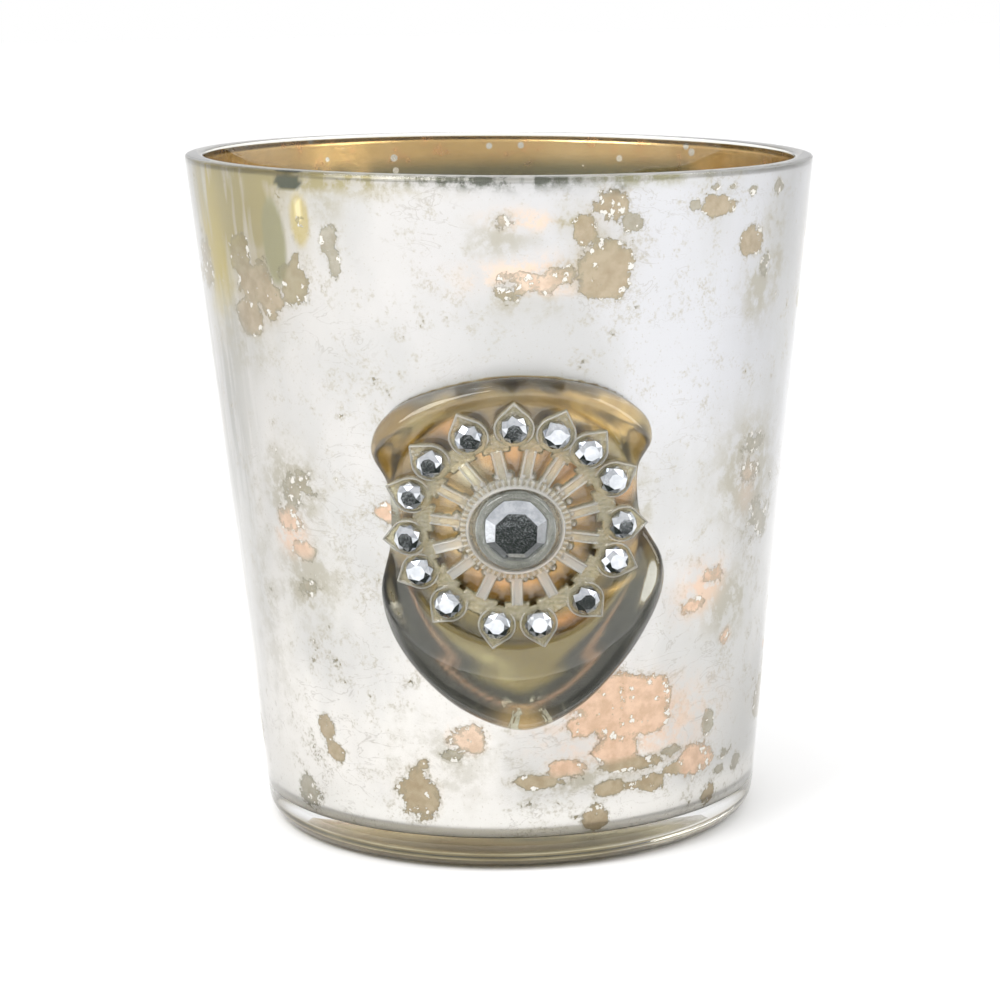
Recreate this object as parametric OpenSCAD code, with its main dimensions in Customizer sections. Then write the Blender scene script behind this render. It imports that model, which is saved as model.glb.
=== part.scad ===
// Tealight holder: a tapered glass tumbler silvered and lacquered inside, with a
// sunburst medallion of set stones on a clear glass pad, and a lift-out tealight.
// Millimetres, +Z up. The origin is the centre of the foot, on the table.
// The medallion faces -Y.

/* [Cup] */
// Height of the rim above the table, on the cup's axis
cup_h = 80; // [70:1:100]
// Outside diameter at the rim
rim_d = 74.8; // [72:0.2:80]
// Diameter that the outside wall's line reaches at the table
foot_d = 59.2; // [56:0.2:62]
// Thickness of the glass wall
wall_t = 2.1; // [1.8:0.1:3]
// Thickness of the glass floor
floor_t = 3.6; // [3.2:0.1:5]
// Radius of the outside corner round the foot
foot_corner_r = 3; // [2:0.5:4]
// Radius of the inside corner round the floor
well_corner_r = 2; // [1:0.5:3]
// Slope of the hand-finished rim, down towards +X, in degrees
rim_slope = 1.1; // [0:0.1:2]
// Width of the ground bevel along both edges of the rim
rim_bevel = 0.4; // [0.2:0.05:0.5]

/* [Coats] */
// Thickness of the silver and of the gold lacquer behind it
coat_t = 0.15; // [0.1:0.05:0.3]
// How far the coats stop below the rim
bare_rim = 0.6; // [0.6:0.1:3]
// Where the silvering starts on the corner round the floor, in degrees below level
silver_corner = 60; // [30:5:80]

/* [Pad] */
// Height of the medallion's centre above the table
medallion_z = 41.6; // [34:0.1:46]
// Thickness of the two lobes squeezed out above and below the sunburst
lobe_t = 4; // [3:0.1:5]
// Thickness of the pressed field under the sunburst
field_t = 2; // [1.6:0.1:2.6]
// Radius of the pressed field
field_r = 13.6; // [13.1:0.1:13.8]
// How far glass that is fused to other glass sinks into it
fuse_t = 0.3; // [0.2:0.05:0.5]

/* [Sunburst] */
// Angles of the petals round the medallion, counter-clockwise from +X
petal_angles = [90, 68, 48, 26, -1, -22, -49, -78, -101, -130, -154, -174, 161, 139, 114];
// Radius of the ring of petal centres
petal_ring_r = 11.3; // [11:0.1:11.8]
// Radius of a petal's round part
petal_r = 2.1; // [1.9:0.05:2.2]
// Reach of a petal's point from its centre
petal_reach = 3; // [2.6:0.1:3.4]
// Width of the raised line along a petal's edge
petal_line_w = 0.3; // [0.2:0.05:0.4]
// Thickness of a petal's plate above the field
petal_plate_t = 0.3; // [0.2:0.05:0.5]
// Height of the raised line above the field
petal_line_h = 0.7; // [0.5:0.05:1]
// Outside radius of the bezel round the centre stone
bezel_r = 5.2; // [5:0.1:5.4]
// Height of the bezel above the field
bezel_h = 1.7; // [1.4:0.1:2.2]
// Outside radius of the collar round the bezel
collar_r = 5.9; // [5.7:0.1:6.2]
// Height of the collar above the field
collar_h = 1.1; // [0.8:0.1:1.3]
// Width of each rib of the double spokes
rib_w = 0.35; // [0.25:0.05:0.45]
// Distance between the two ribs of a spoke, centre to centre
rib_pitch = 0.75; // [0.6:0.05:0.9]
// Height of the ribs above the field
rib_h = 0.6; // [0.4:0.05:0.8]

/* [Stones] */
// Radius of a petal stone
petal_stone_r = 1.65; // [1.5:0.05:1.7]
// Height of a petal stone
petal_stone_h = 1.5; // [1.2:0.1:2]
// Radius of the centre stone
centre_stone_r = 4.45; // [4.2:0.05:4.5]
// Height of the centre stone
centre_stone_h = 2.6; // [2.2:0.1:3]

/* [Tealight] */
// Diameter of the tealight's tin
tin_d = 38; // [36:0.5:40]
// Height of the tin
tin_h = 15.5; // [12:0.5:18]
// Thickness of the tin's sheet
tin_t = 0.35; // [0.3:0.05:0.5]
// Depth of the wax
wax_h = 12.5; // [9:0.5:14]
// Diameter of the wick
wick_d = 1.6; // [1.2:0.1:2.4]
// How far the wick stands out of the wax
wick_free = 7; // [4:0.5:10]
// Diameter of the wick tab's foot
tab_d = 13; // [10:0.5:16]

/* [Hidden] */
$fn = 144;

// Colours
GLASS = [0.80, 0.84, 0.78, 0.45];
SILVER = [0.93, 0.93, 0.92];
GOLD = [0.74, 0.60, 0.36];
AMBER = [0.66, 0.58, 0.38, 0.6];
SUNBURST = [0.80, 0.78, 0.68];
STONE = [0.85, 0.87, 0.90];
TIN = [0.78, 0.79, 0.80];
WAX = [0.96, 0.95, 0.91];
COTTON = [0.90, 0.87, 0.78];
STEEL = [0.60, 0.61, 0.62];

// The cup's wall
rim_r = rim_d / 2;
foot_r = foot_d / 2;
wall_slope = (rim_r - foot_r) / cup_h;
draft = atan(wall_slope);
rim_inner_r = rim_r - wall_t / cos(draft);
rim_shift = rim_r * sin(rim_slope) * wall_slope;
cut_size = 2 * rim_d;
silver_start = -silver_corner;

// The medallion
wall_medallion_r = wall_r(medallion_z);
plate_top = field_t + petal_plate_t;
stone_facets = 8;
spoke_start_r = collar_r - 0.3;
spoke_end_r = 9.4;
web_r = 9.7;
web_size = [2, 3.2];

// The pad's outline on the wall, across and up from the medallion's centre
pad_outline = [
    [0.2, 16.4], [8.5, 15.2], [13.6, 12.4], [15, 9.4], [13.8, 5.6], [14.4, 0],
    [16.8, -4.6], [17, -8.4], [15.2, -12.7], [12, -17.2], [7, -21.8], [0.6, -24.2],
    [-6.3, -21.8], [-11.4, -17.4], [-14.4, -12.6], [-15.3, -7.6], [-14.1, -2], [-14, 4],
    [-15.4, 8.8], [-13.3, 12.5], [-8, 15]
];
pad_middle = [0.3, -3];
pad_steps = 84;
// Each ring of the pad's mesh, as a fraction of the way to the outline
pad_rings = [0.36, 0.47, 0.54, 0.64, 0.78, 0.9, 0.97, 1];

// The tealight
tin_z = floor_t + 2 * coat_t + 0.1;
tin_r = tin_d / 2;
tin_lip_r = 0.6;
tab_t = 0.4;
tab_neck_r = 1.5;
tab_neck_h = 3.5;

// Name of a petal stone's node
function stone_name(i) = str("petal_stone_", i < 9 ? "0" : "", i + 1);

// Outside radius of the cup's wall at height z
function wall_r(z) = rim_r - (cup_h - z) * (rim_r - foot_r) / cup_h;

// Points along an arc in the profile's plane
function arc(centre, r, from, to, steps) = [
    for (i = [0:steps]) let (a = from + (to - from) * i / steps)
        centre + r * [cos(a), sin(a)]
];

// Profile of the cup's outside up to height top, starting on the axis
function outside_profile(top) = concat(
    [[0, 0]],
    arc([foot_r + foot_corner_r * (wall_slope - 1 / cos(draft)), foot_corner_r],
        foot_corner_r, -90, -draft, 8),
    [[wall_r(top), top]]
);

// Profile round the well's corner, moved inwards by inset
function well_corner(inset, from, to) =
    let (z = floor_t + well_corner_r,
         centre = [wall_r(z) - (wall_t + well_corner_r) / cos(draft), z])
    arc(centre, well_corner_r - inset, from, to, 6);

// Profile up the inside wall, moved inwards by inset, from an angle on the well's corner
function inside_wall(top, inset, from) =
    concat(
        well_corner(inset, from, -draft),
        [[wall_r(top) - (wall_t + inset) / cos(draft), top]]
    );

// Profile of the whole inside, moved inwards by inset, starting on the axis
function inside_profile(top, inset) =
    concat([[0, floor_t + inset]], inside_wall(top, inset, -90));

function reversed(list) = [for (i = [len(list) - 1:-1:0]) list[i]];

// A point on the closed smooth curve through points, at t from 0 to 1
function curve_point(points, t) =
    let (n = len(points),
         s = t * n,
         k = floor(s),
         f = s - k,
         a = points[(k + n - 1) % n],
         b = points[k % n],
         c = points[(k + 1) % n],
         d = points[(k + 2) % n])
    b + f * (c - a) / 2
        + f * f * (2 * a - 5 * b + 4 * c - d) / 2
        + f * f * f * (3 * b - a - 3 * c + d) / 2;

// The place in space of a point at p on the wall, raised off it by height
function on_wall_point(p, height) =
    let (z = medallion_z + p[1] * cos(draft) - height * sin(draft),
         r = wall_medallion_r + p[1] * sin(draft) + height * cos(draft),
         a = p[0] / wall_medallion_r * 180 / PI)
    [r * sin(a), -r * cos(a), z];

// 0 below low, 1 above high, and smooth between
function ease(x, low, high) =
    let (f = max(0, min(1, (x - low) / (high - low))))
    f * f * (3 - 2 * f);

// Thickness of the pad at p, on the ring at fraction f
function pad_height(p, f) =
    let (edge = sqrt(max(0, 1 - pow(f, 6))),
         lobe = field_t + (lobe_t - field_t) * ease(norm(p), field_r, field_r + 3))
    lobe * edge;

// The petal's outline: a circle drawn out to a point along +X
function petal_outline(r, reach) =
    let (tangent = acos(r / reach))
    concat([[reach, 0]], arc([0, 0], r, tangent, 360 - tangent, 18));

// Keeps what lies more than depth below the sloping rim
module below_rim(depth) {
    difference() {
        children();
        translate([0, 0, cup_h])
            rotate([0, rim_slope, 0])
                translate([-cut_size / 2, -cut_size / 2, -depth])
                    cube([cut_size, cut_size, cup_h]);
    }
}

// Places children at across and up on the wall, with their +Z pointing out of it
module on_wall(across, up) {
    rotate([0, 0, across / wall_medallion_r * 180 / PI])
        translate([0, -wall_medallion_r - up * sin(draft), medallion_z + up * cos(draft)])
            rotate([90 + draft, 0, 0])
                children();
}

// Places children at radius r and angle a from the medallion's centre, +X outwards
module on_ring(r, a) {
    on_wall(r * cos(a), r * sin(a))
        rotate([0, 0, a])
            children();
}

// Cutters for the bevels along the two edges of the sloping rim
module rim_bevels() {
    reach = rim_bevel + 0.5;
    translate([0, 0, cup_h])
        rotate([0, rim_slope, 0])
            translate([-rim_shift, 0, 0])
                for (edge = [[rim_r - rim_bevel, 1], [rim_inner_r + rim_bevel, -1]])
                    rotate_extrude()
                        translate([edge[0], 0])
                            scale([edge[1], 1])
                                polygon([[-0.5, 0.5], [reach, 0.5], [reach, -reach]]);
}

module glass_cup() {
    color(GLASS)
        difference() {
            below_rim(0)
                rotate_extrude()
                    polygon(concat(
                        outside_profile(cup_h + 2),
                        reversed(inside_profile(cup_h + 2, 0))
                    ));
            rim_bevels();
        }
}

// The silvering goes up the wall only and leaves the floor bare
module silver_lining() {
    color(SILVER)
        below_rim(bare_rim)
            rotate_extrude()
                polygon(concat(
                    inside_wall(cup_h + 2, 0, silver_start),
                    reversed(inside_wall(cup_h + 2, coat_t, silver_start))
                ));
}

// The lacquer covers the silvering and the bare floor
module gold_lining() {
    color(GOLD)
        below_rim(bare_rim)
            rotate_extrude()
                polygon(concat(
                    [[0, floor_t]],
                    well_corner(0, -90, silver_start),
                    inside_wall(cup_h + 2, coat_t, silver_start),
                    reversed(inside_profile(cup_h + 2, 2 * coat_t))
                ));
}

module glass_pad() {
    rings = len(pad_rings);
    outline = [for (i = [0:pad_steps - 1]) curve_point(pad_outline, i / pad_steps)];
    flat_points = [
        for (f = pad_rings, p = outline) pad_middle + f * (p - pad_middle)
    ];
    ring_of = [for (f = pad_rings, p = outline) f];
    top = [
        for (i = [0:len(flat_points) - 1])
            on_wall_point(flat_points[i], pad_height(flat_points[i], ring_of[i]))
    ];
    under = [for (p = flat_points) on_wall_point(p, -fuse_t)];
    half = len(top);
    top_middle = 2 * half;
    under_middle = top_middle + 1;
    edge = half - pad_steps;
    points = concat(top, under, [
        on_wall_point(pad_middle, field_t),
        on_wall_point(pad_middle, -fuse_t)
    ]);
    faces = concat(
        [for (i = [0:pad_steps - 1]) [top_middle, (i + 1) % pad_steps, i]],
        [for (i = [0:pad_steps - 1]) [under_middle, half + i, half + (i + 1) % pad_steps]],
        [
            for (k = [0:rings - 2], i = [0:pad_steps - 1], side = [0, 1])
                let (a = k * pad_steps + i, b = k * pad_steps + (i + 1) % pad_steps)
                    side == 0
                        ? [a, b, b + pad_steps]
                        : [a, b + pad_steps, a + pad_steps]
        ],
        [
            for (k = [0:rings - 2], i = [0:pad_steps - 1], side = [0, 1])
                let (a = half + k * pad_steps + i, b = half + k * pad_steps + (i + 1) % pad_steps)
                    side == 0
                        ? [a, b + pad_steps, b]
                        : [a, a + pad_steps, b + pad_steps]
        ],
        [
            for (i = [0:pad_steps - 1], side = [0, 1])
                let (a = edge + i, b = edge + (i + 1) % pad_steps)
                    side == 0
                        ? [a, b, b + half]
                        : [a, b + half, a + half]
        ]
    );
    color(AMBER) polyhedron(points, faces);
}

// One petal: a plate with a raised line round it, sunk into the pad
module petal() {
    outline = petal_outline(petal_r, petal_reach);
    pocket = petal_outline(petal_r - petal_line_w, petal_reach - 1.5 * petal_line_w);
    difference() {
        translate([0, 0, field_t - fuse_t])
            linear_extrude(petal_line_h + fuse_t)
                polygon(outline);
        translate([0, 0, plate_top])
            linear_extrude(petal_line_h)
                polygon(pocket);
    }
}

// One spoke: two ribs side by side, from the collar to the web
module spoke() {
    for (side = [-1, 1])
        translate([spoke_start_r, side * rib_pitch / 2 - rib_w / 2, field_t - fuse_t])
            cube([spoke_end_r - spoke_start_r, rib_w, rib_h + fuse_t]);
}

module sunburst() {
    count = len(petal_angles);
    color(SUNBURST)
        union() {
            for (i = [0:count - 1]) {
                angle = petal_angles[i];
                following = petal_angles[(i + 1) % count];
                gap = (angle - following + 360) % 360;
                middle = angle - gap / 2;
                on_ring(petal_ring_r, angle)
                    petal();
                on_ring(web_r, middle)
                    translate([-web_size[0] / 2, -web_size[1] / 2, field_t - fuse_t])
                        cube([web_size[0], web_size[1], fuse_t + petal_plate_t / 2]);
                on_ring(spoke_end_r, middle)
                    translate([-spoke_end_r, 0, 0])
                        spoke();
            }
            on_wall(0, 0)
                translate([0, 0, field_t - fuse_t])
                    difference() {
                        union() {
                            cylinder(h = bezel_h + fuse_t, r = bezel_r);
                            cylinder(h = collar_h + fuse_t, r = collar_r);
                        }
                        translate([0, 0, fuse_t + petal_plate_t])
                            cylinder(h = bezel_h + 1, r = centre_stone_r);
                    }
        }
}

// A round stone with a flat back, a girdle, a faceted crown and a flat table
module stone(r, h) {
    girdle_h = h * 0.35;
    cylinder(h = girdle_h, r = r, $fn = 2 * stone_facets);
    translate([0, 0, girdle_h])
        cylinder(h = h - girdle_h, r1 = r, r2 = r / 2, $fn = 2 * stone_facets);
}

module centre_stone() {
    color(STONE)
        on_wall(0, 0)
            translate([0, 0, plate_top])
                stone(centre_stone_r, centre_stone_h);
}

module petal_stone(i) {
    color(STONE)
        on_ring(petal_ring_r, petal_angles[i])
            translate([0, 0, plate_top])
                stone(petal_stone_r, petal_stone_h);
}

module tealight_tin() {
    color(TIN)
        translate([0, 0, tin_z])
            union() {
                difference() {
                    cylinder(h = tin_h - tin_lip_r, r = tin_r - tin_lip_r / 2);
                    translate([0, 0, tin_t])
                        cylinder(h = tin_h, r = tin_r - tin_lip_r / 2 - tin_t);
                }
                translate([0, 0, tin_h - tin_lip_r])
                    rotate_extrude()
                        translate([tin_r - tin_lip_r, 0])
                            circle(r = tin_lip_r, $fn = 24);
            }
}

module tealight_wax() {
    color(WAX)
        translate([0, 0, tin_z + tin_t])
            difference() {
                cylinder(h = wax_h, r = tin_r - tin_lip_r / 2 - tin_t);
                translate([0, 0, -1])
                    cylinder(h = wax_h + 2, r = wick_d / 2);
                translate([0, 0, -1])
                    cylinder(h = 1 + tab_t, r = tab_d / 2);
                translate([0, 0, -1])
                    cylinder(h = 1 + tab_neck_h, r = tab_neck_r);
            }
}

module tealight_wick() {
    color(COTTON)
        translate([0, 0, tin_z + tin_t + tab_t])
            cylinder(h = wax_h - tab_t + wick_free, r = wick_d / 2, $fn = 32);
}

module wick_tab() {
    color(STEEL)
        translate([0, 0, tin_z + tin_t])
            difference() {
                union() {
                    cylinder(h = tab_t, r = tab_d / 2);
                    cylinder(h = tab_neck_h, r = tab_neck_r);
                }
                translate([0, 0, tab_t])
                    cylinder(h = tab_neck_h, r = wick_d / 2);
            }
}

glass_cup();
silver_lining();
gold_lining();
glass_pad();
sunburst();
centre_stone();
for (i = [0:len(petal_angles) - 1])
    petal_stone(i);
tealight_tin();
tealight_wax();
tealight_wick();
wick_tab();
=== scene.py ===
"""Looks for a tealight holder: a silvered glass tumbler with a sunburst medallion of
set stones on a clear glass pad, and the tealight that stands in it."""
import math

import bmesh
import bpy
import numpy as np
from mathutils import Matrix, Vector


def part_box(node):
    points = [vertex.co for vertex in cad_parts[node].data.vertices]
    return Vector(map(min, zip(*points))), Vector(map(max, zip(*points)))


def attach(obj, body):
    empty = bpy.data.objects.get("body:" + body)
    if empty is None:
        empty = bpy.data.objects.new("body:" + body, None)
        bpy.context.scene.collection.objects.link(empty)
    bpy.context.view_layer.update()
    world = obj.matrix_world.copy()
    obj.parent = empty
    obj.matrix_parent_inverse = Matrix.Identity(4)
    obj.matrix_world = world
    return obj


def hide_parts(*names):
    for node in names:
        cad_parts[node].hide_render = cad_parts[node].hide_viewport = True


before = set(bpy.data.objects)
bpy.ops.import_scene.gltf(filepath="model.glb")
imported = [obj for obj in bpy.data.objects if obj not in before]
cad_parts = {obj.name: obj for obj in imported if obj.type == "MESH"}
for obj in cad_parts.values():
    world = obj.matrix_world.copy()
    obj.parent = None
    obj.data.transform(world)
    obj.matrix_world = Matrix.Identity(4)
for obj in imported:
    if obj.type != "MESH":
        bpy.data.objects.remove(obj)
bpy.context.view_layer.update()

MM = 0.001
RNG = np.random.default_rng(7)


def box_mm(node):
    """Lowest and highest corners of a CAD node, in millimetres."""
    low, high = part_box(node)
    return np.array(low) / MM, np.array(high) / MM


# ---------------------------------------------------------------- sizes, in mm

cup_low, cup_high = box_mm("glass_cup")
stone_low, stone_high = box_mm("centre_stone")
tin_low, tin_high = box_mm("tealight_tin")
wax_low, wax_high = box_mm("tealight_wax")
wick_low, wick_high = box_mm("tealight_wick")

RIM_SLOPE = math.radians(1.1)
LIP_H = 0.40
LIP_SQUARE = 0.55
RIM_R = (cup_high[1] - cup_low[1]) / 2 - 0.05
CUP_H = cup_high[2] - RIM_R * math.sin(RIM_SLOPE)
FOOT_R = RIM_R * 0.792
WALL_SLOPE = (RIM_R - FOOT_R) / CUP_H
DRAFT = math.atan(WALL_SLOPE)
WALL_T = 2.1
FLOOR_T = 3.6
FOOT_CORNER_R = 3.0
# How far the underside rises inside the foot's edge
FOOT_HOLLOW = 0.02
WELL_CORNER_R = 2.0
BARE_RIM = 0.42

MEDALLION_Z = (stone_low[2] + stone_high[2]) / 2 + 0.27
WALL_MEDALLION_R = FOOT_R + WALL_SLOPE * MEDALLION_Z
FIELD_T = 2.0
LOBE_T = 4.0
FIELD_R = 13.6
FUSE_T = 0.3
PETAL_R = 2.1
PETAL_REACH = 3.0
PETAL_RING_R = 11.3
STONE_COUNT = sum(1 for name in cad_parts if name.startswith("petal_stone"))
STONE_R = 1.65
STONE_H = 1.5
CENTRE_STONE_R = 4.45
PLATE_T = 0.3

# The pad's outline on the wall, across and up from the medallion's centre
PAD_OUTLINE = [
    (0.2, 16.4), (8.5, 15.2), (13.6, 12.4), (15, 9.4), (13.8, 5.6), (14.4, 0),
    (16.8, -4.6), (17, -8.4), (15.2, -12.7), (12, -17.2), (7, -21.8), (0.6, -24.2),
    (-6.3, -21.8), (-11.4, -17.4), (-14.4, -12.6), (-15.3, -7.6), (-14.1, -2), (-14, 4),
    (-15.4, 8.8), (-13.3, 12.5), (-8, 15),
]
PAD_MIDDLE = np.array([0.3, -3.0])

# ------------------------------------------------------------- shape functions


def ease(x, low, high):
    """0 below low, 1 above high and smooth between."""
    f = np.clip((np.asarray(x, float) - low) / (high - low), 0, 1)
    return f * f * (3 - 2 * f)


def plateau(x, a, b, c, d):
    """1 from b to c, 0 beyond a and d, and smooth between."""
    return ease(x, a, b) * (1 - ease(x, c, d))


def hump(x, centre, width):
    """A smooth hump, 1 at its centre."""
    return np.exp(-(((x - centre) / width) ** 2))


def blend(colours, other, share):
    """Mixes colours with others by each point's share, 0 to 1."""
    share = share[:, None]
    return colours * (1 - share) + other * share


def wall_r(z):
    """Outside radius of the cup's wall at height z."""
    return FOOT_R + WALL_SLOPE * np.asarray(z, float)


def rim_height(angle):
    """Height of the sloping rim at an angle round the cup."""
    return CUP_H - RIM_R * math.tan(RIM_SLOPE) * np.sin(angle)


def round_cup(r, angle, z):
    """Points at radius r and height z; angle 0 faces -Y and grows towards +X."""
    r, angle, z = np.broadcast_arrays(r, angle, z)
    return np.stack([r * np.sin(angle), -r * np.cos(angle), z], -1)


def hand_wave(angle, z):
    """The small waves that hand blowing leaves in the wall."""
    return (
        0.055 * np.sin(2 * angle + 1.1)
        + 0.040 * np.sin(3 * angle - 0.6 + z / 15)
        + 0.030 * np.sin(5 * angle + 2.2 - z / 11)
        + 0.014 * np.sin(9 * angle + 0.4 + z / 6)
    ) * ease(z, 2, 12)


def inner_wave(angle, z):
    """Finer waves, on the inside of the wall only."""
    return (
        0.030 * np.sin(7 * angle + 1.9 + z / 7)
        + 0.022 * np.sin(11 * angle - 0.8 - z / 5)
        + 0.012 * np.sin(17 * angle + z / 3.4)
    ) * ease(z, 4, 14)


def on_wall(u, v, height):
    """Points at (u, v) across and up the wall from the medallion, raised by height."""
    u, v, height = np.broadcast_arrays(
        np.asarray(u, float), np.asarray(v, float), np.asarray(height, float)
    )
    z = MEDALLION_Z + v * math.cos(DRAFT) - height * math.sin(DRAFT)
    r = WALL_MEDALLION_R + v * math.sin(DRAFT) + height * math.cos(DRAFT)
    return round_cup(r, u / WALL_MEDALLION_R, z)


def wall_frame(u, v):
    """The matrix that puts a piece at (u, v) on the wall, its +Z pointing out of it."""
    turn = Matrix.Rotation(u / WALL_MEDALLION_R, 4, "Z")
    tilt = Matrix.Rotation(math.pi / 2 + DRAFT, 4, "X")
    place = Vector((
        0,
        -WALL_MEDALLION_R - v * math.sin(DRAFT),
        MEDALLION_Z + v * math.cos(DRAFT),
    ))
    return turn @ Matrix.Translation(place) @ tilt


def closed_curve(points, count):
    """Points along the smooth closed curve through a few points."""
    points = np.array(points, float)
    n = len(points)
    s = np.arange(count) / count * n
    k = s.astype(int)
    f = (s - k)[:, None]
    a, b, c, d = (points[(k + shift) % n] for shift in (-1, 0, 1, 2))
    straight = f * (c - a) / 2
    bend = f**2 * (2 * a - 5 * b + 4 * c - d) / 2
    twist = f**3 * (3 * b - a - 3 * c + d) / 2
    return b + straight + bend + twist


PAD_EDGE = closed_curve(PAD_OUTLINE, 420)


def pad_depth(u, v):
    """How far (u, v) lies inside the pad's outline; negative outside it."""
    p = np.stack([np.ravel(u), np.ravel(v)], -1)
    a = PAD_EDGE
    b = np.roll(PAD_EDGE, -1, axis=0)
    best = np.full(len(p), np.inf)
    inside = np.zeros(len(p), bool)
    for start, end in zip(a, b):
        along = end - start
        t = np.clip(((p - start) @ along) / (along @ along), 0, 1)
        gap = p - start - t[:, None] * along
        best = np.minimum(best, np.hypot(gap[:, 0], gap[:, 1]))
        crosses = (start[1] > p[:, 1]) != (end[1] > p[:, 1])
        rise = along[1] if along[1] else 1e-9
        inside ^= crosses & (p[:, 0] < start[0] + (p[:, 1] - start[1]) * along[0] / rise)
    return np.where(inside, best, -best).reshape(np.shape(u))


def pad_height(u, v, depth):
    """Height of the pad's face over the wall, at a given depth inside its outline."""
    roll_w = 3.4
    roll = np.sqrt(np.clip(1 - (1 - np.clip(depth / roll_w, 0, 1)) ** 2, 0, 1))
    reach = np.hypot(u, v)
    lobe = FIELD_T + (LOBE_T - FIELD_T) * ease(reach, FIELD_R, FIELD_R + 3.2)
    ripple = 0.05 * np.sin(0.9 * u + 0.7 * v) * np.sin(0.5 * v - 0.4 * u) * ease(depth, 1, 3)
    return (lobe + ripple) * roll


# ----------------------------------------------------------------- mesh makers


def add_object(name, points, faces, smooth=True):
    """A mesh object from points in millimetres, its faces turned outwards."""
    mesh = bpy.data.meshes.new(name)
    mesh.from_pydata((np.asarray(points, float) * MM).tolist(), [], faces)
    work = bmesh.new()
    work.from_mesh(mesh)
    bmesh.ops.recalc_face_normals(work, faces=work.faces)
    work.to_mesh(mesh)
    work.free()
    mesh.polygons.foreach_set("use_smooth", np.full(len(mesh.polygons), smooth))
    mesh.update()
    piece = bpy.data.objects.new(name, mesh)
    bpy.context.scene.collection.objects.link(piece)
    return piece


def ring_faces(rings, size, closed):
    """Quads between rings of the same number of points; closed joins the last to the first."""
    faces = []
    for k in range(rings if closed else rings - 1):
        a = k * size
        b = ((k + 1) % rings) * size
        for i in range(size):
            j = (i + 1) % size
            faces.append((a + i, a + j, b + j, b + i))
    return faces


def loft(name, rings, first_pole=None, last_pole=None, closed=False):
    """A closed surface through rings of points, with a point at either end or none."""
    size = len(rings[0])
    points = [p for ring in rings for p in ring]
    faces = ring_faces(len(rings), size, closed)
    if first_pole is not None:
        points.append(first_pole)
        pole = len(points) - 1
        faces += [(pole, (i + 1) % size, i) for i in range(size)]
    if last_pole is not None:
        points.append(last_pole)
        pole = len(points) - 1
        last = (len(rings) - 1) * size
        faces += [(pole, last + i, last + (i + 1) % size) for i in range(size)]
    return add_object(name, points, faces)


def spin(name, profile, around, wave=None):
    """Turns a profile of (r, z) points about the Z axis; end points at r = 0 are poles."""
    angle = np.arange(around) / around * 2 * math.pi
    poles = [None, None]
    body = list(profile)
    if body[0][0] == 0:
        poles[0] = (0, 0, body.pop(0)[1])
    if body[-1][0] == 0:
        poles[1] = (0, 0, body.pop()[1])
    rings = []
    for r, z in body:
        offset = wave(angle, r, z) if wave else 0
        rings.append(round_cup(r + offset, angle, z))
    closed = poles == [None, None]
    return loft(name, rings, poles[0], poles[1], closed)


def arc(centre, r, start, end, steps):
    """Points along an arc, with its angles in degrees."""
    angles = np.radians(np.linspace(start, end, steps + 1))
    return [(centre[0] + r * math.cos(a), centre[1] + r * math.sin(a)) for a in angles]


def wear_body(piece, body, node):
    """Says which body a piece rides on, and hides the CAD node it stands for."""
    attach(piece, body)
    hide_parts(node)


# ------------------------------------------------------------ material helpers


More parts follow.
